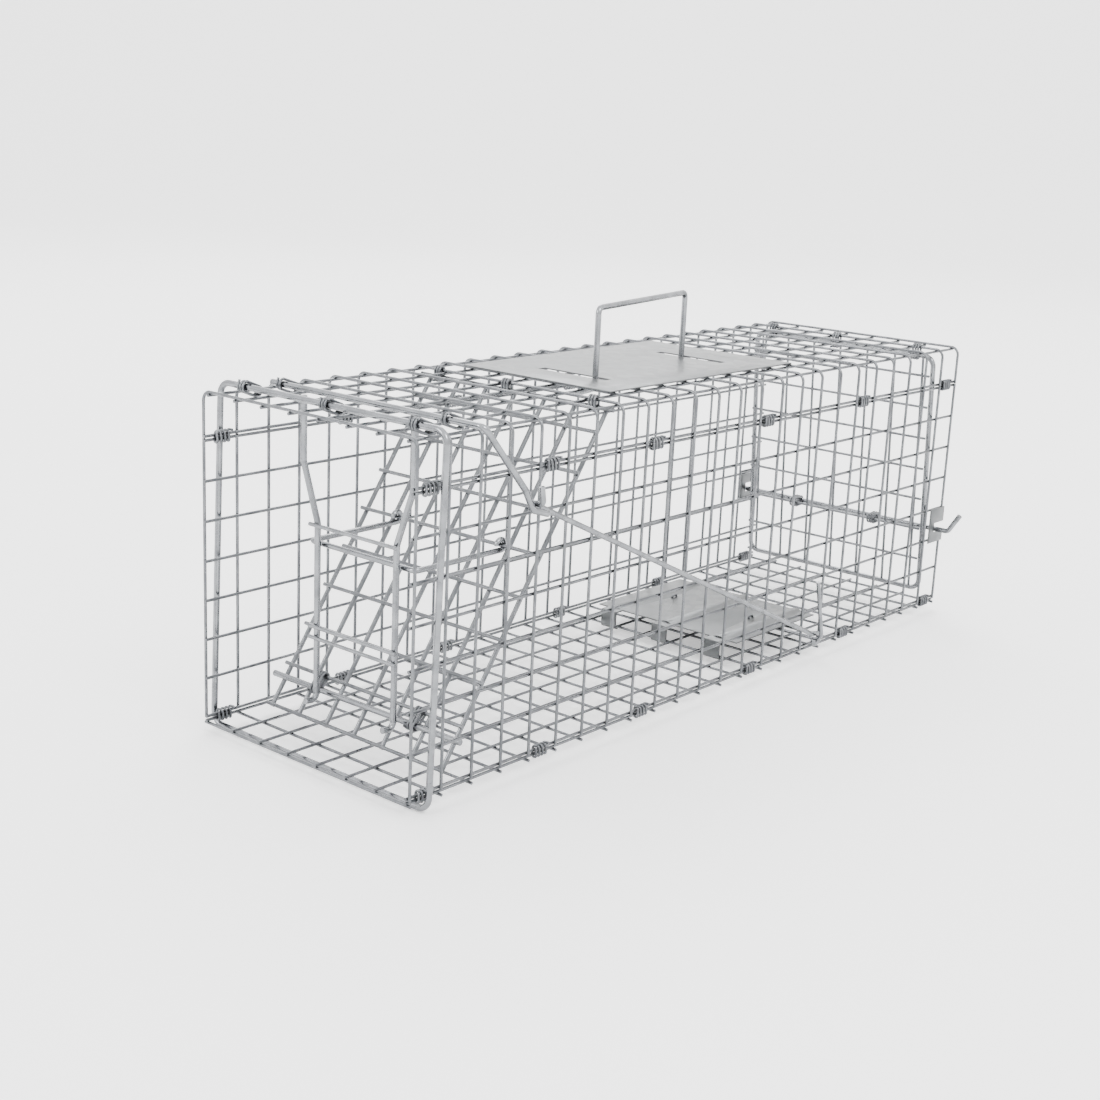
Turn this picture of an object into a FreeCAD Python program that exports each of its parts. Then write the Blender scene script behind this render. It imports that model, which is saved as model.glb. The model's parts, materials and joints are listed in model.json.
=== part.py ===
import FreeCAD, Part
import math
import os

# Live catch trap, one door. +X runs to the rear, +Y to the far side, +Z up.
# The origin is on the ground under the middle of the cage.

V = FreeCAD.Vector
X_AXIS = V(1, 0, 0)
Y_AXIS = V(0, 1, 0)
Z_AXIS = V(0, 0, 1)

SIZES = {
    "cageLength": 600, "cageWidth": 180, "meshPitch": 25, "wallRows": 8, "roofDepth": 27.2,
    "meshWire": 2, "weldSink": 0.2, "seamGap": 0.6, "groundGap": 1, "wireEnd": 1.5, "movingGap": 0.5,
    "hoopWire": 4, "hoopLean": 7, "hoopSetback": 17, "hoopSideGap": 3.5,
    "doorWire": 3, "doorCrossWire": 2.5, "doorPitch": 28, "doorTopGap": 12, "doorHingeCell": 7,
    "doorAngle": 34.6, "doorSideGap": 8, "doorEdge": 7,
    "lockWire": 4, "shaftSetback": 41, "shaftTail": 76, "legSpread": 47, "legWaist": 34, "legBend": 40,
    "legWaistDrop": 76, "lockRodInset": 19, "footCurl": 9,
    "upperRung": 138, "middleRung": 74, "lowerRung": 67,
    "armReach": 43, "armDrop": 53, "kneeReach": 7, "kneeRise": 12.5, "hookReach": 13, "hookDrop": 4,
    "bailWire": 3.5, "bailSpread": 45, "bailRow": 4,
    "tripWire": 3.5, "linkWire": 3, "linkRise": 15.2, "linkReach": 65, "linkEnd": 50, "settingRise": 47,
    "settingLean": 12, "treadleCell": 14, "treadleReach": 110, "treadleSideGap": 26, "sheet": 1,
    "beadHeight": 1.2, "tieSpacing": 72, "tabWidth": 14,
    "handlePlateLength": 206, "handlePlateWidth": 126, "handleWire": 4, "handleSpan": 129,
    "handleFoot": 24, "handleHeight": 52.4, "handleFront": -71, "frontLegSide": -23, "rearLegSide": 3,
    "slotLength": 57, "slotWidth": 7, "slotSide": -5, "plateShift": 4.5,
    "rearLean": 14, "rearSideGap": 3.5, "rearDrop": 192, "borderWire": 4, "rearRodHeight": 69.5,
    "rearRodWire": 4, "rodShortEnd": 5, "rodOverhang": 13, "gripReach": 9, "gripRise": 14.5,
    "bracketLength": 22, "bracketHeight": 28, "bracketSlack": 3.5,
    "clipWire": 1.6, "clipGap": 0.3, "clipPitch": 2.2, "seamClipPitch": 3,
}

document = FreeCAD.newDocument("LiveCatchTrap")
sheet = document.addObject("Spreadsheet::Sheet", "Sizes")
for row, (alias, value) in enumerate(SIZES.items(), 1):
    sheet.set(f"A{row}", alias)
    sheet.set(f"B{row}", str(value))
    sheet.setAlias(f"B{row}", alias)
document.recompute()


def size(alias):
    return float(sheet.get(alias))


def straightWire(centre, direction, length, diameter):
    """One round wire; length is an expression and diameter an alias of the sheet."""
    wire = document.addObject("Part::Cylinder", "Wire")
    wire.setExpression("Radius", f"Sizes.{diameter} / 2")
    wire.setExpression("Height", length)
    half = float(wire.evalExpression(length)) / 2
    wire.Placement = FreeCAD.Placement(centre - direction * half, FreeCAD.Rotation(Z_AXIS, direction))
    return wire


def roundedPath(corners, radius, closed=False):
    """Straight runs through the corners, each corner rounded by a tangent arc."""
    points = [V(*corner) for corner in corners]
    if closed:
        middle = (points[0] + points[1]) * 0.5
        points = [middle] + points[1:] + [points[0], middle]
    edges = []
    here = points[0]
    for before, corner, after in zip(points, points[1:], points[2:]):
        towards = (before - corner).normalize()
        onwards = (after - corner).normalize()
        turn = towards.getAngle(onwards)
        reach = radius / math.tan(turn / 2)
        start = corner + towards * reach
        end = corner + onwards * reach
        bisector = (towards + onwards).normalize()
        middle = corner + bisector * (radius / math.sin(turn / 2) - radius)
        if start.distanceToPoint(here) > 1e-4:
            edges.append(Part.makeLine(here, start))
        edges.append(Part.Arc(start, middle, end).toShape())
        here = end
    if here.distanceToPoint(points[-1]) > 1e-4:
        edges.append(Part.makeLine(here, points[-1]))
    return Part.Wire(edges)


def bentShape(corners, radius, diameter, closed=False):
    path = roundedPath(corners, radius, closed)
    first = path.OrderedEdges[0]
    profile = Part.Wire(Part.makeCircle(diameter / 2, first.valueAt(first.FirstParameter),
                                        first.tangentAt(first.FirstParameter)))
    return path.makePipeShell([profile], True, False)


def feature(shape, name="Shape"):
    item = document.addObject("Part::Feature", name)
    item.Shape = shape
    item.Placement = FreeCAD.Placement()
    return item


def bentWire(corners, radius, diameter, closed=False):
    return feature(bentShape(corners, radius, diameter, closed), "BentWire")


def group(label, items):
    """Gathers a sub-part's separate solids under one label."""
    compound = document.addObject("Part::Compound", label)
    compound.Links = items
    compound.Label = label
    subparts.append(compound)


def finished(label, item):
    item.Label = label
    subparts.append(item)


def evenly(count, pitch):
    return [(index - (count - 1) / 2) * pitch for index in range(count)]


def coilClip(first, second, firstWire, secondWire, along, turns=3, turnPitch="clipPitch"):
    """A wire coil wound round two parallel wires, centred on the given points."""
    across = (second - first).normalize()
    sideways = along.cross(across)
    clipWire = size("clipWire")
    spare = size("clipGap") + clipWire / 2
    halfWidth = max(firstWire, secondWire) / 2 + spare
    low = -firstWire / 2 - spare
    high = first.distanceToPoint(second) + secondWire / 2 + spare
    corners = [(high, halfWidth), (low, halfWidth), (low, -halfWidth), (high, -halfWidth)]
    steps = 4 * turns + 1
    points = []
    for step in range(steps):
        reach, side = corners[step % 4]
        advance = (step / (steps - 1) - 0.5) * size(turnPitch) * turns
        points.append(first + across * reach + sideways * side + along * advance)
    return bentWire(points, halfWidth * 0.9, clipWire)


subparts = []
halfLength = size("cageLength") / 2
halfWidth = size("cageWidth") / 2
pitch = size("meshPitch")
meshWire = size("meshWire")
clipGap = size("clipGap")
movingGap = size("movingGap")
weldStep = meshWire - size("weldSink")
cells = round(size("cageLength") / pitch)
rows = int(size("wallRows"))
stations = evenly(cells + 1, size("cageLength") / cells)
sideHorizontalY = halfWidth - weldStep
floorSpacing = 2 * sideHorizontalY / (rows - 1)
roofBend = 3 * meshWire
roofSpacing = 2 * (halfWidth - roofBend) / (rows - 1)

# Heights, from the ground up.
floorCrossZ = size("hoopWire") + size("groundGap") + meshWire / 2
floorLongZ = floorCrossZ + weldStep
sideBottomZ = floorLongZ + meshWire + size("seamGap")
sideTopZ = sideBottomZ + (rows - 1) * pitch
flangeZ = sideTopZ + meshWire + size("seamGap")
roofCrossZ = flangeZ + size("roofDepth")
roofLongZ = roofCrossZ - weldStep
LONG_WIRE = "Sizes.cageLength + 2 * Sizes.wireEnd"


def roofWire(fromFront):
    """The place of the roof cross wire that is this many cells from the front."""
    return V(stations[fromFront], 0, roofCrossZ)


def roofGap(index, share=0.5):
    """A distance across the roof, as a share of the gap between two of its long wires."""
    return evenly(rows, roofSpacing)[index] + share * roofSpacing


def makeFloor():
    wires = [straightWire(V(0, y, floorLongZ), X_AXIS, LONG_WIRE, "meshWire")
             for y in evenly(rows, floorSpacing)]
    for x in stations:
        wires.append(straightWire(V(x, 0, floorCrossZ), Y_AXIS, "Sizes.cageWidth + Sizes.wireEnd",
                                  "meshWire"))
    group("floor_mesh", wires)


def makeSide(label, side):
    """A side sheet; the last upright is left out across the rear lock bracket's window."""
    wires = []
    for row in range(rows):
        centre = V(0, side * sideHorizontalY, sideBottomZ + row * pitch)
        wires.append(straightWire(centre, X_AXIS, LONG_WIRE, "meshWire"))
    middle = (sideBottomZ + sideTopZ) / 2
    full = "(Sizes.wallRows - 1) * Sizes.meshPitch + Sizes.meshWire + 2 * Sizes.weldSink"
    for x in stations[:-1]:
        wires.append(straightWire(V(x, side * halfWidth, middle), Z_AXIS, full, "meshWire"))
    below = windowRow() * pitch
    above = (rows - 2 - windowRow()) * pitch
    ends = meshWire + 2 * size("weldSink")
    for centre, cut in ((sideBottomZ + below / 2, below), (sideTopZ - above / 2, above)):
        wires.append(straightWire(V(halfLength, side * halfWidth, centre), Z_AXIS, f"{cut + ends} mm",
                                  "meshWire"))
    group(label, wires)


def windowRow():
    """The mesh row that the rear lock rod passes through, counted from the floor."""
    return int((size("rearRodHeight") - sideBottomZ) // pitch)


def makeRoof():
    wires = [straightWire(V(0, y, roofLongZ), X_AXIS, LONG_WIRE, "meshWire")
             for y in evenly(rows, roofSpacing)]
    for side in (-1, 1):
        wires.append(straightWire(V(0, side * sideHorizontalY, flangeZ), X_AXIS, LONG_WIRE, "meshWire"))
    foot = flangeZ - meshWire / 2
    for x in stations:
        corners = [(x, -halfWidth, foot), (x, -halfWidth, roofCrossZ), (x, halfWidth, roofCrossZ),
                   (x, halfWidth, foot)]
        wires.append(bentWire(corners, roofBend, meshWire))
    group("roof_mesh", wires)


def makeSeamClips():
    """The seams' clips sit in the middle of a cell, at shares of the cage's length."""
    cellsAlong = [int(share * cells) for share in (0, 0.17, 0.34, 0.55, 0.76, 0.96)]
    for label, low, high in (("lower_seam_clips", floorLongZ, sideBottomZ),
                             ("upper_seam_clips", sideTopZ, flangeZ)):
        clips = []
        for side in (-1, 1):
            for cell in cellsAlong:
                x = (stations[cell] + stations[cell + 1]) / 2
                y = side * sideHorizontalY
                clips.append(coilClip(V(x, y, low), V(x, y, high), meshWire, meshWire, X_AXIS, 4,
                                      "seamClipPitch"))
        group(label, clips)


hoopWire = size("hoopWire")
hoopTop = V(size("hoopSetback") - halfLength, 0, roofCrossZ + (meshWire + hoopWire) / 2 + clipGap)
hoopBottom = V(hoopTop.x - size("hoopLean"), 0, hoopWire / 2)
hoopY = halfWidth + meshWire / 2 + hoopWire / 2 + size("hoopSideGap") - size("wireEnd")


def makeFrontHoop():
    """The hoop that holds the four sheets square, hung from the roof on three clips."""
    corners = [V(end.x, side * hoopY, end.z) for end, side in
               ((hoopTop, -1), (hoopTop, 1), (hoopBottom, 1), (hoopBottom, -1))]
    path = bentShape(corners, 2 * hoopWire, hoopWire, closed=True)
    finished("front_hoop", feature(path, "FrontHoop"))
    clips = [coilClip(roofWire(1) + Y_AXIS * y, hoopTop + Y_AXIS * y, meshWire, hoopWire, Y_AXIS)
             for y in (roofGap(0), roofGap(3), roofGap(6))]
    group("front_hoop_clips", clips)


# The door swings about its top rod. Places on it are (distance from the rod, stand-off to the front).
doorWire = size("doorWire")
doorCross = size("doorCrossWire")
doorHingeCell = int(size("doorHingeCell"))
doorHinge = V(stations[doorHingeCell], 0, roofLongZ - meshWire / 2 - movingGap - doorWire / 2)
doorTurn = math.radians(size("doorAngle"))
doorDown = V(-math.sin(doorTurn), 0, -math.cos(doorTurn))
doorFront = V(-math.cos(doorTurn), 0, math.sin(doorTurn))
doorPitch = size("doorPitch")
doorLength = (doorHinge.z - floorLongZ - meshWire / 2 - 2 * movingGap - doorWire) / math.cos(doorTurn)
doorRows = int((doorLength - size("doorTopGap")) // doorPitch) + 1
doorHalf = halfWidth - size("doorSideGap")
doorSpacing = (doorHalf - size("doorEdge")) / 3


def onDoor(distance, standOff=0.0, y=0.0):
    return doorHinge + doorDown * distance + doorFront * standOff + Y_AXIS * y


def doorRow(row):
    """The distance of a cross wire from the hinge, rows counted from the bottom edge."""
    return doorLength - row * doorPitch


doorBack = size("weldSink") - (doorWire + doorCross) / 2
lockRodDistance = doorLength - size("lockRodInset")
lockRod = onDoor(lockRodDistance, doorBack + (doorWire + size("lockWire")) / 2 + 0.1)


def makeDoor():
    wires = [straightWire(doorHinge, Y_AXIS, "Sizes.cageWidth - 2 * Sizes.doorSideGap", "doorWire")]
    for y in evenly(7, doorSpacing):
        wires.append(straightWire(onDoor(doorLength / 2, doorBack, y), doorDown,
                                  f"{doorLength + doorCross} mm", "doorWire"))
    for row in range(doorRows):
        wires.append(straightWire(onDoor(doorRow(row)), Y_AXIS,
                                  "Sizes.cageWidth - 3 * Sizes.doorSideGap", "doorCrossWire"))
    group("door_mesh", wires)
    above = roofWire(doorHingeCell)
    hinges = [coilClip(above + Y_AXIS * y, doorHinge + Y_AXIS * y, meshWire, doorWire, Y_AXIS)
              for y in (roofGap(0, 0.75), roofGap(3, 0.75), roofGap(6, 0.25))]
    group("door_hinge_clips", hinges)


def makeDoorLockRod():
    rod = straightWire(lockRod, Y_AXIS, "Sizes.cageWidth - 2 * Sizes.doorSideGap", "lockWire")
    finished("door_lock_rod", rod)
    clips = []
    for y in (-1.72 * doorSpacing, 1.72 * doorSpacing):
        beside = onDoor(doorRow(1), 0, y)
        clips.append(coilClip(beside, lockRod + Y_AXIS * y, doorCross, size("lockWire"), Y_AXIS))
    group("door_rod_clips", clips)


lockWire = size("lockWire")
shaft = V(size("shaftSetback") - halfLength, 0, roofCrossZ + (meshWire + lockWire) / 2 + clipGap)
armY = -(hoopY + hoopWire / 2 + lockWire / 2 + movingGap)
tripWire = size("tripWire")
tripY = -(halfWidth + meshWire / 2 + tripWire / 2 + 2.5 * movingGap)
armEnd = V(shaft.x + size("armReach"), 0, shaft.z - size("armDrop"))
armKnee = armEnd + V(-size("kneeReach"), 0, size("kneeRise"))
armTail = armEnd + V(size("hookReach"), 0, -size("hookDrop"))


def cradle(before, corner, after, standOff):
    """The point inside a bend that is the same distance from both of its runs."""
    towards = (before - corner).normalize()
    onwards = (after - corner).normalize()
    bisector = (towards + onwards).normalize()
    return corner + bisector * (standOff / math.sin(towards.getAngle(onwards) / 2))


tripNose = cradle(armKnee, armEnd, armTail, (lockWire + tripWire) / 2 + movingGap)


def makeLockFrame():
    """Shaft, trip arm and the two legs that stand in front of the shut door's lock rod."""
    spread = size("legSpread")
    waist = size("legWaist")
    armCorners = [shaft + Y_AXIS * size("shaftTail"), shaft + Y_AXIS * armY]
    armCorners += [point + Y_AXIS * armY for point in (armKnee, armEnd, armTail)]
    parts = [bentShape(armCorners, lockWire, lockWire)]
    footZ = lockRod.z - 3
    top = shaft.z - lockWire + size("weldSink")
    legX = shaft.x
    for side in (-1, 1):
        leg = [V(legX, side * spread, top), V(legX, side * spread, top - size("legBend")),
               V(legX, side * waist, top - size("legWaistDrop")), V(legX, side * waist, footZ),
               V(legX - size("footCurl"), side * waist, footZ + 1)]
        parts.append(bentShape(leg, lockWire, lockWire))
    rungX = legX - lockWire / 2 - doorCross / 2 + size("weldSink")
    reach = waist + lockWire
    for height in ("upperRung", "middleRung", "lowerRung"):
        rung = Part.makeCylinder(doorCross / 2, 2 * reach, V(rungX, -reach, size(height)), Y_AXIS)
        parts.append(rung)
    group("lock_frame", [feature(shape, "LockFrameWire") for shape in parts])
    clips = [coilClip(roofWire(2) + Y_AXIS * y, shaft + Y_AXIS * y, meshWire, lockWire, Y_AXIS, 2)
             for y in (roofGap(0), roofGap(6, 0.25))]
    group("lock_shaft_clips", clips)


bailWire = size("bailWire")
bailPivot = onDoor(doorRow(int(size("bailRow")) + 1))


def makeDoorBail():
    """A U of wire whose eyes turn on a cross wire of the door."""
    spread = size("bailSpread")
    eye = (doorCross + bailWire) / 2 + clipGap
    barX = shaft.x + (lockWire + bailWire) / 2 + 2 * movingGap
    outline = [V(eye, 0, 0), V(eye, 0, eye), V(-eye, 0, eye), V(-eye, 0, -eye)]
    near = [bailPivot + V(-offset.x, -spread, offset.z) for offset in outline]
    far = [V(point.x, spread, point.z) for point in reversed(near)]
    arm = bailPivot.z - eye
    corners = near + [V(barX, -spread, arm), V(barX, spread, arm)] + far
    finished("door_bail", bentWire(corners, eye * 0.95, bailWire))


treadleHingeX = stations[int(size("treadleCell"))]
linkWire = size("linkWire")
link = V(treadleHingeX + size("linkReach"), 0, size("linkRise"))
beadSpacing = 1.9 * floorSpacing


def makeTreadle():
    """The plate: a beaded sheet with three tabs curled round a floor cross wire."""
    thick = size("sheet")
    low = link.z + linkWire / 2 + 0.1
    half = halfWidth - size("treadleSideGap")
    bead = size("beadHeight")
    under = [V(0, -half, low)]
    for middle in evenly(3, beadSpacing):
        under += [V(0, middle - 5, low), V(0, middle - 2, low + bead), V(0, middle + 2, low + bead),
                  V(0, middle + 5, low)]
    under.append(V(0, half, low))
    over = [point + Z_AXIS * thick for point in reversed(under)]
    front = treadleHingeX + 6
    outline = Part.makePolygon([point + X_AXIS * front for point in under + over + under[:1]])
    plate = Part.Face(outline).extrude(X_AXIS * (size("treadleReach") - 6))
    inner = meshWire / 2 + clipGap
    outer = inner + thick
    for middle in evenly(3, beadSpacing):
        tab = tabShape(middle, inner, outer, low, thick, front)
        plate = plate.fuse(tab)
    loop = (linkWire + size("clipWire")) / 2 + clipGap
    for y in evenly(2, size("tieSpacing")):
        for side in (-1, 1):
            centre = V(link.x + side * loop, y, low - 5)
            hole = Part.makeCylinder(size("clipWire") / 2 + clipGap, 10, centre)
            plate = plate.cut(hole)
    finished("treadle_plate", feature(plate.removeSplitter(), "TreadlePlate"))


def tabShape(middle, inner, outer, low, thick, front):
    x = treadleHingeX
    y = middle - size("tabWidth") / 2
    z = floorCrossZ
    corners = {
        "plate_top": V(front + 0.5, y, low + thick), "bend_top": V(x - outer, y, low + thick),
        "outer_left": V(x - outer, y, z), "outer_right": V(x + outer, y, z),
        "inner_right": V(x + inner, y, z), "inner_left": V(x - inner, y, z),
        "bend_low": V(x - inner, y, low), "plate_low": V(front + 0.5, y, low),
    }
    edges = [
        Part.makeLine(corners["plate_top"], corners["bend_top"]),
        Part.makeLine(corners["bend_top"], corners["outer_left"]),
        Part.Arc(corners["outer_left"], V(x, y, z - outer), corners["outer_right"]).toShape(),
        Part.makeLine(corners["outer_right"], corners["inner_right"]),
        Part.Arc(corners["inner_right"], V(x, y, z - inner), corners["inner_left"]).toShape(),
        Part.makeLine(corners["inner_left"], corners["bend_low"]),
        Part.makeLine(corners["bend_low"], corners["plate_low"]),
        Part.makeLine(corners["plate_low"], corners["plate_top"]),
    ]
    return Part.Face(Part.Wire(edges)).extrude(Y_AXIS * size("tabWidth"))


def makeTreadleLink():
    """The wire under the plate; it leaves through the near side and stands up as a setting handle."""
    outside = tripY - tripWire / 2 - 2 * movingGap - linkWire / 2 - 1
    handleEnd = link + V(-size("settingLean"), outside, size("settingRise"))
    corners = [link + Y_AXIS * size("linkEnd"), link + Y_AXIS * outside, handleEnd]
    finished("treadle_link", bentWire(corners, 2 * linkWire, linkWire))
    clip = size("clipWire")
    half = (linkWire + clip) / 2 + clipGap
    top = link.z + linkWire / 2 + 0.1 + size("sheet") + clip
    ties = []
    for y in evenly(2, size("tieSpacing")):
        corners = [V(link.x + side * half, y, z) for side, z in
                   ((-1, link.z - half), (-1, top), (1, top), (1, link.z - half))]
        ties.append(bentWire(corners, clip * 0.8, clip, closed=True))
    group("treadle_ties", ties)


def makeTripRod():
    """From an eye on the link wire to a nose that lies in the arm's hook."""
    eye = (linkWire + tripWire) / 2 + clipGap
    around = [V(-eye, 0, 0), V(-eye, 0, -eye), V(eye, 0, -eye), V(eye, 0, eye)]
    corners = [link + Y_AXIS * tripY + offset for offset in around]
    corners.append(link + V(-2 * eye, tripY, eye + 2))
    corners.append(tripNose + Y_AXIS * tripY)
    outside = armY - lockWire / 2 - movingGap - tripWire / 2 - 1
    corners.append(tripNose + Y_AXIS * outside)
    corners.append(tripNose + V(-2, outside, 11))
    finished("trip_rod", bentWire(corners, eye * 0.9, tripWire))


handleWire = size("handleWire")
handleX = (size("handleFront"), size("handleFront") + size("handleSpan"))
handleY = (size("frontLegSide"), size("rearLegSide"))
handlePivotZ = roofLongZ - (meshWire + handleWire) / 2 - clipGap
plateZ = roofCrossZ + meshWire / 2 + 0.05


def makeHandlePlate():
    plate = document.addObject("Part::Box", "PlateSheet")
    plate.setExpression("Length", "Sizes.handlePlateLength")
    plate.setExpression("Width", "Sizes.handlePlateWidth")
    plate.setExpression("Height", "Sizes.sheet")
    front = sum(handleX) / 2 + size("plateShift") - size("handlePlateLength") / 2
    plate.Placement.Base = V(front, -size("handlePlateWidth") / 2, plateZ)
    cut = plate
    for x in handleX:
        slot = document.addObject("Part::Box", "PlateSlot")
        slot.setExpression("Length", "Sizes.slotWidth")
        slot.setExpression("Width", "Sizes.slotLength")
        slot.setExpression("Height", "Sizes.sheet * 4")
        near = size("slotSide") - size("slotLength") / 2
        slot.Placement.Base = V(x - size("slotWidth") / 2, near, plateZ - 1)
        remaining = document.addObject("Part::Cut", "SlottedPlate")
        remaining.Base = cut
        remaining.Tool = slot
        cut = remaining
    finished("handle_plate", cut)


def makeCarryHandle():
    """A bail handle, a little askew in its slots; its feet turn under the roof's long wires."""
    front, rear = (V(x, y, handlePivotZ) for x, y in zip(handleX, handleY))
    foot = (rear - front).normalize() * size("handleFoot")
    rise = Z_AXIS * size("handleHeight")
    corners = [front - foot, front, front + rise, rear + rise, rear, rear + foot]
    finished("carry_handle", bentWire(corners, handleWire, handleWire))


# The rear panel hangs from a roof cross wire and leans out a little at the bottom.
border = size("borderWire")
rearHinge = V(stations[cells - 1], 0, roofLongZ - meshWire / 2 - 3 * movingGap - border / 2)
rearTurn = math.asin(size("rearLean") / size("rearDrop"))
rearDown = V(math.sin(rearTurn), 0, -math.cos(rearTurn))
rearOut = V(math.cos(rearTurn), 0, math.sin(rearTurn))
rearHalf = halfWidth - border - size("rearSideGap")
rearRodWire = size("rearRodWire")
rodDistance = (rearHinge.z - size("rearRodHeight")) / math.cos(rearTurn)
rearRod = rearHinge + rearDown * rodDistance + rearOut * ((border + rearRodWire) / 2 + clipGap)
panelBack = size("weldSink") - (border + meshWire) / 2
rearSpacing = (rearHalf - 7.5) / 3


def makeRearPanel():
    bottom = rearHinge + rearDown * size("rearDrop")
    corners = [V(end.x, side * rearHalf, end.z) for end, side in
               ((rearHinge, -1), (rearHinge, 1), (bottom, 1), (bottom, -1))]
    outline = bentShape(corners, 2 * border, border, closed=True)
    finished("rear_panel_border", feature(outline, "RearBorder"))
    wires = []
    middle = rearHinge + rearDown * (size("rearDrop") / 2) + rearOut * panelBack
    for y in evenly(7, rearSpacing):
        wires.append(straightWire(middle + Y_AXIS * y, rearDown, "Sizes.rearDrop", "meshWire"))
    backRow = rearHinge + rearOut * (panelBack - weldStep)
    first = rodDistance % pitch
    for row in range(int((size("rearDrop") - first) // pitch) + 1):
        wires.append(straightWire(backRow + rearDown * (first + row * pitch), Y_AXIS,
                                  "Sizes.cageWidth - 4 * Sizes.borderWire", "meshWire"))
    group("rear_panel_mesh", wires)
    clips = [coilClip(roofWire(cells - 1) + Y_AXIS * y, rearHinge + Y_AXIS * y, meshWire, border, Y_AXIS)
             for y in (roofGap(0, 0.71), roofGap(3, 0.75), roofGap(6, 0.29))]
    group("rear_hinge_clips", clips)
    rodRow = backRow + rearDown * rodDistance
    coils = [coilClip(rodRow + Y_AXIS * y, rearRod + Y_AXIS * y, meshWire, rearRodWire, Y_AXIS)
             for y in (-1.5 * rearSpacing, 1.5 * rearSpacing)]
    group("rear_rod_coils", coils)


def makeRearLock():
    """The sliding rod and the two open-ended brackets that hold its ends."""
    tail = halfWidth + size("rodOverhang")
    corners = [rearRod + Y_AXIS * (halfWidth + size("rodShortEnd")), rearRod - Y_AXIS * tail,
               rearRod + V(0, -tail - size("gripReach"), size("gripRise"))]
    finished("rear_lock_rod", bentWire(corners, rearRodWire, rearRodWire))
    thick = size("sheet")
    windowMiddle = sideBottomZ + (windowRow() + 0.5) * pitch
    for label, side in (("near_rear_bracket", -1), ("far_rear_bracket", 1)):
        sheetY = side * (halfWidth + meshWire / 2 + 0.05 + thick / 2) - thick / 2
        plate = document.addObject("Part::Box", "BracketSheet")
        plate.setExpression("Length", "Sizes.bracketLength")
        plate.setExpression("Width", "Sizes.sheet")
        plate.setExpression("Height", "Sizes.bracketHeight")
        front = halfLength + size("wireEnd") - size("bracketLength")
        plate.Placement.Base = V(front, sheetY, windowMiddle - size("bracketHeight") / 2)
        slot = document.addObject("Part::Box", "BracketSlot")
        slot.setExpression("Length", "Sizes.bracketLength")
        slot.setExpression("Width", "Sizes.sheet * 4")
        slot.setExpression("Height", "Sizes.rearRodWire + Sizes.bracketSlack")
        slot.Placement.Base = V(rearRod.x - rearRodWire / 2 - movingGap, sheetY - 1.5 * thick,
                                rearRod.z - rearRodWire / 2 - movingGap)
        bracket = document.addObject("Part::Cut", "Bracket")
        bracket.Base = plate
        bracket.Tool = slot
        finished(label, bracket)


makeFloor()
makeSide("near_side_mesh", -1)
makeSide("far_side_mesh", 1)
makeRoof()
makeSeamClips()
makeFrontHoop()
makeDoor()
makeDoorLockRod()
makeLockFrame()
makeDoorBail()
makeTreadle()
makeTreadleLink()
makeTripRod()
makeHandlePlate()
makeCarryHandle()
makeRearPanel()
makeRearLock()
document.recompute()

for item in document.Objects:
    if "Invalid" in item.State or "Error" in item.State:
        raise SystemExit(f"{item.Label} failed: {item.State}")
for part in subparts:
    if part.Shape.isNull() or not part.Shape.isValid():
        raise SystemExit(f"{part.Label} has no valid shape")

os.makedirs("parts", exist_ok=True)
for part in subparts:
    part.Shape.exportStep(os.path.join("parts", part.Label + ".step"))
    print(f"{part.Label}: {len(part.Shape.Solids)} solids")
axes = {
    "door": doorHinge, "lock frame": shaft, "bail": bailPivot, "trip rod": link, "front hoop": hoopTop,
    "rear panel": rearHinge, "treadle": V(treadleHingeX, 0, floorCrossZ), "handle": V(0, 0, handlePivotZ),
}
for name, point in axes.items():
    print(f"{name} turns about {point.x:.4f}, {point.z:.4f}")
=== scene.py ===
import bpy
import json
import math
from mathutils import Matrix, Vector


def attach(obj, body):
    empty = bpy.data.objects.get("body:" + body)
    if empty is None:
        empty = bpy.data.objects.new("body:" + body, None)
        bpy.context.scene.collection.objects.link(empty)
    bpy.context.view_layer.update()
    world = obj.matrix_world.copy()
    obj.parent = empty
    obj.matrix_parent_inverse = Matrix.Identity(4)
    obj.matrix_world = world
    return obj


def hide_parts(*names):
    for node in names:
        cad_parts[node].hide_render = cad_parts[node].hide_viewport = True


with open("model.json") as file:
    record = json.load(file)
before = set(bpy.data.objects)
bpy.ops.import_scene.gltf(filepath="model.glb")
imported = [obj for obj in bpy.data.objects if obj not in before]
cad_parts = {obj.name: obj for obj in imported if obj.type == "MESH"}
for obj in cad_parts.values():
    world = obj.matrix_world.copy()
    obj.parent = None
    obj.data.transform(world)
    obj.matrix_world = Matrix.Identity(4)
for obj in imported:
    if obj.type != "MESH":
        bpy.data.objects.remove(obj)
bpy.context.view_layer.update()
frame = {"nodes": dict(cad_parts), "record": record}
nodes = frame["nodes"]
print("frame loaded")


# ---- colours and node helper
def linearColour(hexValue):
    channels = [int(hexValue[i:i + 2], 16) / 255 for i in (1, 3, 5)]
    return tuple(c / 12.92 if c <= 0.04045 else ((c + 0.055) / 1.055) ** 2.4 for c in channels) + (1.0,)


def addNode(tree, kind, links=None, **settings):
    node = tree.nodes.new(kind)
    for name, value in settings.items():
        if name == "sockets":
            for socket, amount in value.items():
                node.inputs[socket].default_value = amount
        else:
            setattr(node, name, value)
    for socket, source in (links or {}).items():
        tree.links.new(source, node.inputs[socket])
    return node


def startMaterial(name):
    material = bpy.data.materials.new(name)
    material.use_nodes = True
    tree = material.node_tree
    shader = tree.nodes["Principled BSDF"]
    coords = addNode(tree, "ShaderNodeTexCoord").outputs["Object"]
    return material, tree, shader, coords


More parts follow.
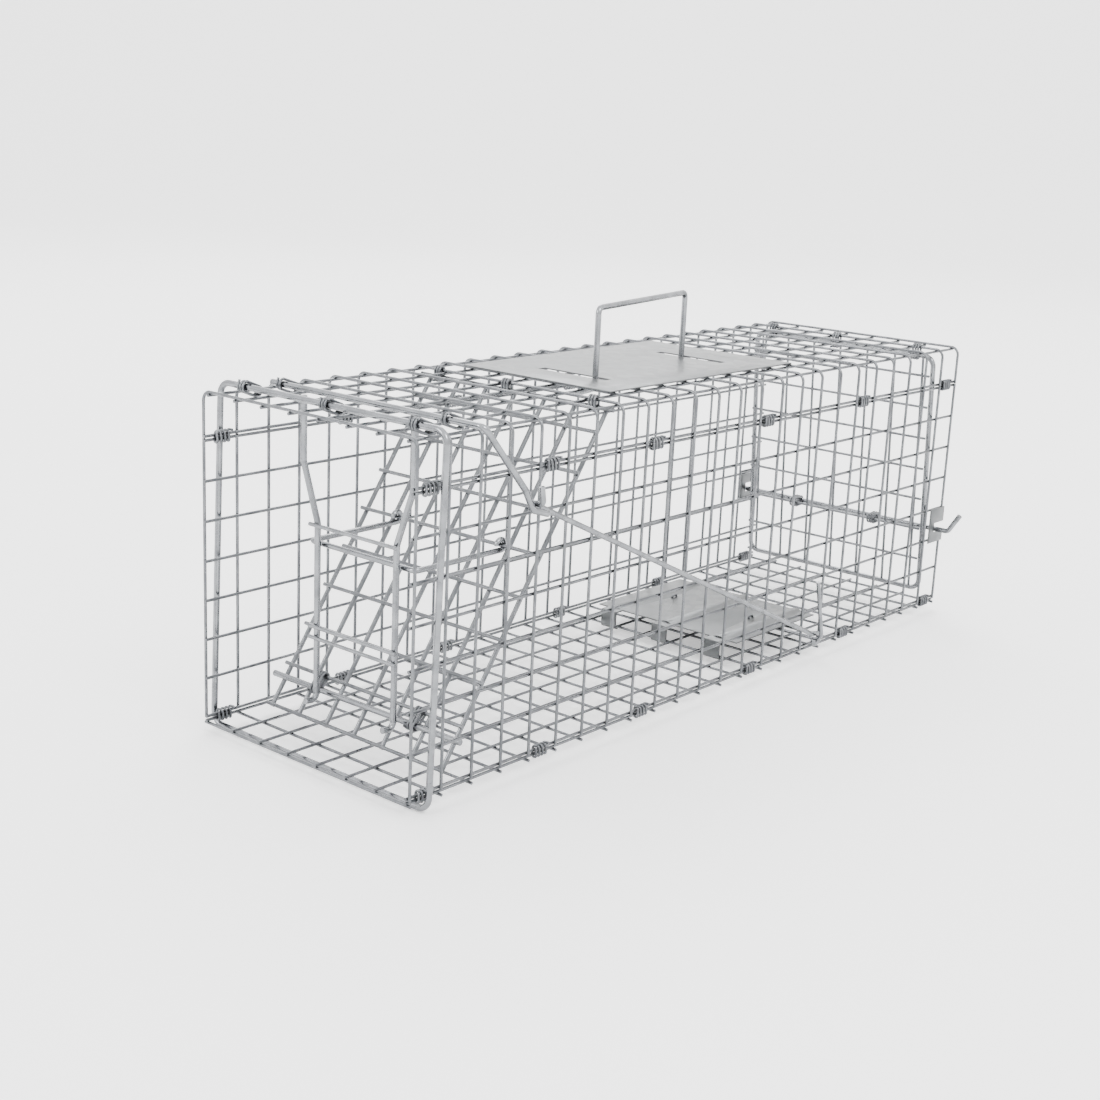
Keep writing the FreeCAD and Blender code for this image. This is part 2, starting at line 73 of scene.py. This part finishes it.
# drawn wire, zinc plated: satin grey with fine grain and cloudy zinc
zincWire = {"colour": "#6f7174", "cloud": "#5d5f62", "roughness": 0.26, "cloudSize": 0.012,
            "cloudLow": 0.35, "cloudHigh": 0.62, "dull": 0.1, "shine": 0.04,
            "grainScale": 900.0, "bump": 0.12, "bumpDepth": 0.0002}


def makeZincWire(name, values):
    material, tree, shader, coords = startMaterial(name)
    cloud = addNode(tree, "ShaderNodeTexNoise", {"Vector": coords},
                    sockets={"Scale": 1 / values["cloudSize"], "Detail": 4.0})
    colour = addNode(tree, "ShaderNodeValToRGB", {"Fac": cloud.outputs["Fac"]})
    colour.color_ramp.elements[0].position = values["cloudLow"]
    colour.color_ramp.elements[0].color = linearColour(values["cloud"])
    colour.color_ramp.elements[1].position = values["cloudHigh"]
    colour.color_ramp.elements[1].color = linearColour(values["colour"])
    tree.links.new(colour.outputs["Color"], shader.inputs["Base Color"])
    rough = addNode(tree, "ShaderNodeMapRange", {"Value": cloud.outputs["Fac"]},
                    sockets={"From Min": 0.3, "From Max": 0.7,
                             "To Min": values["roughness"] + values["dull"],
                             "To Max": values["roughness"] - values["shine"]})
    tree.links.new(rough.outputs["Result"], shader.inputs["Roughness"])
    grain = addNode(tree, "ShaderNodeTexNoise", {"Vector": coords},
                    sockets={"Scale": values["grainScale"], "Detail": 3.0})
    bump = addNode(tree, "ShaderNodeBump", {"Height": grain.outputs["Fac"]},
                   sockets={"Strength": values["bump"], "Distance": values["bumpDepth"]})
    tree.links.new(bump.outputs["Normal"], shader.inputs["Normal"])
    shader.inputs["Metallic"].default_value = 1.0
    return material


# hot-dip galvanised sheet: crystal spangle a few millimetres across, fine rolling lines
galvanised = {"light": "#636566", "dark": "#5b5d5e", "spangle": 0.007, "rolling": 0.0006,
              "roughness": 0.34, "shine": 0.06, "dull": 0.08, "warpScale": 160.0, "warp": 0.004,
              "bump": 0.1, "bumpDepth": 0.0003}


def makeGalvanisedSheet():
    material, tree, shader, coords = startMaterial("galvanisedSheet")
    warp = addNode(tree, "ShaderNodeTexNoise", {"Vector": coords},
                   sockets={"Scale": galvanised["warpScale"], "Detail": 2.0})
    shifted = addNode(tree, "ShaderNodeMix", {"A": coords, "B": warp.outputs["Color"]}, data_type="VECTOR")
    shifted.inputs["Factor"].default_value = galvanised["warp"]
    spangle = addNode(tree, "ShaderNodeTexVoronoi", {"Vector": shifted.outputs[1]},
                      sockets={"Scale": 1 / galvanised["spangle"]})
    colour = addNode(tree, "ShaderNodeValToRGB", {"Fac": spangle.outputs["Color"]})
    colour.color_ramp.elements[0].color = linearColour(galvanised["dark"])
    colour.color_ramp.elements[1].color = linearColour(galvanised["light"])
    tree.links.new(colour.outputs["Color"], shader.inputs["Base Color"])
    rough = addNode(tree, "ShaderNodeMapRange", {"Value": spangle.outputs["Color"]},
                    sockets={"To Min": galvanised["roughness"] - galvanised["shine"],
                             "To Max": galvanised["roughness"] + galvanised["dull"]})
    tree.links.new(rough.outputs["Result"], shader.inputs["Roughness"])
    stretch = addNode(tree, "ShaderNodeMapping", {"Vector": coords}, sockets={"Scale": (0.02, 1.0, 1.0)})
    rolling = addNode(tree, "ShaderNodeTexNoise", {"Vector": stretch.outputs["Vector"]},
                      sockets={"Scale": 1 / galvanised["rolling"], "Detail": 2.0})
    bump = addNode(tree, "ShaderNodeBump", {"Height": rolling.outputs["Fac"]},
                   sockets={"Strength": galvanised["bump"], "Distance": galvanised["bumpDepth"]})
    tree.links.new(bump.outputs["Normal"], shader.inputs["Normal"])
    shader.inputs["Metallic"].default_value = 1.0
    return material


finishes = {
    "meshZinc": makeZincWire("meshZinc", zincWire),
    "rodZinc": makeZincWire("rodZinc", {**zincWire, "colour": "#85878a", "cloud": "#737578",
                                        "roughness": 0.21}),
    "clipZinc": makeZincWire("clipZinc", {**zincWire, "colour": "#6c6e71", "cloud": "#595b5e",
                                          "roughness": 0.3}),
    "sheet": makeGalvanisedSheet(),
}
finishOf = {"zinc_wire": "meshZinc", "zinc_rod": "rodZinc", "clip_steel": "clipZinc",
            "galvanised_sheet": "sheet"}


def dressNodes():
    for part in frame["record"]["subparts"]:
        piece = nodes[part["node"]]
        piece.data.materials.clear()
        piece.data.materials.append(finishes[finishOf[part["material_slot"]]])


dressNodes()
print("materials on the CAD nodes")

# ---- sheet pieces: sheared edges are slightly rolled over, so they catch the light
rolledEdge = {"width": 0.00022, "segments": 2, "angle": 35, "merge": 0.000001, "flat": 0.5}
sheetPieces = {
    "handlePlate": ("handle_plate", "cage"),
    "treadlePlate": ("treadle_plate", "treadle"),
    "nearRearBracket": ("near_rear_bracket", "cage"),
    "farRearBracket": ("far_rear_bracket", "cage"),
}


def makeRolledSheet(name, node, body):
    bpy.ops.object.select_all(action="DESELECT")
    piece = bpy.data.objects.new(name, nodes[node].data.copy())
    bpy.context.scene.collection.objects.link(piece)
    bpy.context.view_layer.objects.active = piece
    piece.select_set(True)
    bpy.ops.object.mode_set(mode="EDIT")
    bpy.ops.mesh.select_all(action="SELECT")
    bpy.ops.mesh.remove_doubles(threshold=rolledEdge["merge"])
    bpy.ops.mesh.dissolve_limited(angle_limit=math.radians(rolledEdge["flat"]))
    bpy.ops.mesh.normals_make_consistent(inside=False)
    bpy.ops.object.mode_set(mode="OBJECT")
    edge = piece.modifiers.new("rolledEdge", "BEVEL")
    edge.width = rolledEdge["width"]
    edge.segments = rolledEdge["segments"]
    edge.limit_method = "ANGLE"
    edge.angle_limit = math.radians(rolledEdge["angle"])
    bpy.ops.object.modifier_apply(modifier=edge.name)
    bpy.ops.object.shade_smooth_by_angle(angle=math.radians(rolledEdge["angle"]))
    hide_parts(node)
    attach(piece, body)


for name, (node, body) in sheetPieces.items():
    makeRolledSheet(name, node, body)
print("sheet pieces with rolled edges")

# ---- floor, lights and camera
cameraView = {"at": (-0.92052, -0.70749, 0.39273), "azimuth": 40.14, "tilt": -15.04, "roll": 2.6,
              "lens": 55.23}
studio = {"paperWidth": 14.0, "paperFront": -6.0, "paperBack": 5.0, "paperDrop": 0.0002, "wallHeight": 5.0,
          "sweep": 1.6, "paperColour": "#f7f7f7", "paperRoughness": 0.9, "paperGlow": 0.55,
          "sky": 1.3, "dark": 0.1}


def makePaper():
    # a paper sweep: flat on the ground, rounded up into a wall behind the trap
    bpy.ops.object.select_all(action="DESELECT")
    bpy.ops.mesh.primitive_plane_add(size=1, location=(0, 0, -studio["paperDrop"]))
    paper = bpy.context.object
    paper.name = "studioPaper"
    depth = studio["paperBack"] - studio["paperFront"]
    paper.scale = (depth, studio["paperWidth"], 1)
    bpy.ops.object.transform_apply(location=False, rotation=False, scale=True)
    for vertex in paper.data.vertices:
        vertex.co.x += (studio["paperBack"] + studio["paperFront"]) / 2
        vertex.select = False
    for edge in paper.data.edges:
        edge.select = all(paper.data.vertices[i].co.x > studio["paperBack"] - 0.01 for i in edge.vertices)
    bpy.ops.object.mode_set(mode="EDIT")
    bpy.ops.mesh.select_mode(type="EDGE")
    bpy.ops.mesh.extrude_region_move(TRANSFORM_OT_translate={"value": (0, 0, studio["wallHeight"])})
    bpy.ops.object.mode_set(mode="OBJECT")
    for edge in paper.data.edges:
        ends = [paper.data.vertices[i].co for i in edge.vertices]
        edge.select = all(end.x > studio["paperBack"] - 0.01 and end.z < 0.01 for end in ends)
    bpy.ops.object.mode_set(mode="EDIT")
    bpy.ops.mesh.bevel(offset=studio["sweep"], segments=16, affect="EDGES")
    bpy.ops.mesh.select_all(action="SELECT")
    bpy.ops.object.mode_set(mode="OBJECT")
    bpy.ops.object.shade_smooth()
    paper.rotation_euler = (0, 0, math.radians(cameraView["azimuth"]))
    white, tree, shader, coords = startMaterial("seamlessPaper")
    shader.inputs["Base Color"].default_value = linearColour(studio["paperColour"])
    shader.inputs["Roughness"].default_value = studio["paperRoughness"]
    shader.inputs["Emission Color"].default_value = (1.0, 1.0, 1.0, 1.0)
    shader.inputs["Emission Strength"].default_value = studio["paperGlow"]
    paper.data.materials.append(white)


def makeSky():
    # bright overhead, darker round the horizon, so that round wires show dark edges
    world = bpy.data.worlds.new("studioSky")
    bpy.context.scene.world = world
    world.use_nodes = True
    tree = world.node_tree
    coords = addNode(tree, "ShaderNodeTexCoord").outputs["Generated"]
    height = addNode(tree, "ShaderNodeSeparateXYZ", {"Vector": coords})
    level = addNode(tree, "ShaderNodeMapRange", {"Value": height.outputs["Z"]},
                    sockets={"From Min": 0.1, "From Max": 0.75, "To Min": studio["dark"],
                             "To Max": studio["sky"]})
    tree.links.new(level.outputs["Result"], tree.nodes["Background"].inputs["Strength"])
    tree.nodes["Background"].inputs["Color"].default_value = (1.0, 1.0, 1.0, 1.0)


softboxes = {
    "keyLight": {"at": (-0.5, -1.9, 2.2), "size": 1.1, "power": 60.0},
    "sideLight": {"at": (-2.2, 0.9, 1.2), "size": 0.8, "power": 30.0},
    "backLight": {"at": (1.5, 1.6, 2.2), "size": 1.4, "power": 55.0},
}


def makeLights():
    for name, box in softboxes.items():
        bpy.ops.object.light_add(type="AREA", location=box["at"])
        light = bpy.context.object
        light.name = name
        light.data.shape = "SQUARE"
        light.data.size = box["size"]
        light.data.energy = box["power"]
        aim = Vector((0, 0, 0.1)) - Vector(box["at"])
        light.rotation_euler = aim.to_track_quat("-Z", "Y").to_euler()


def makeCamera():
    view = cameraView
    bpy.ops.object.camera_add(location=view["at"])
    camera = bpy.context.object
    turn = Matrix.Rotation(math.radians(view["azimuth"] - 90), 4, "Z")
    turn = turn @ Matrix.Rotation(math.radians(90 + view["tilt"]), 4, "X")
    turn = turn @ Matrix.Rotation(math.radians(view["roll"]), 4, "Z")
    camera.rotation_euler = turn.to_euler()
    camera.data.lens = view["lens"]
    camera.data.sensor_width = 36.0
    bpy.context.scene.camera = camera


makePaper()
makeSky()
makeLights()
makeCamera()
print("studio, lights and camera")
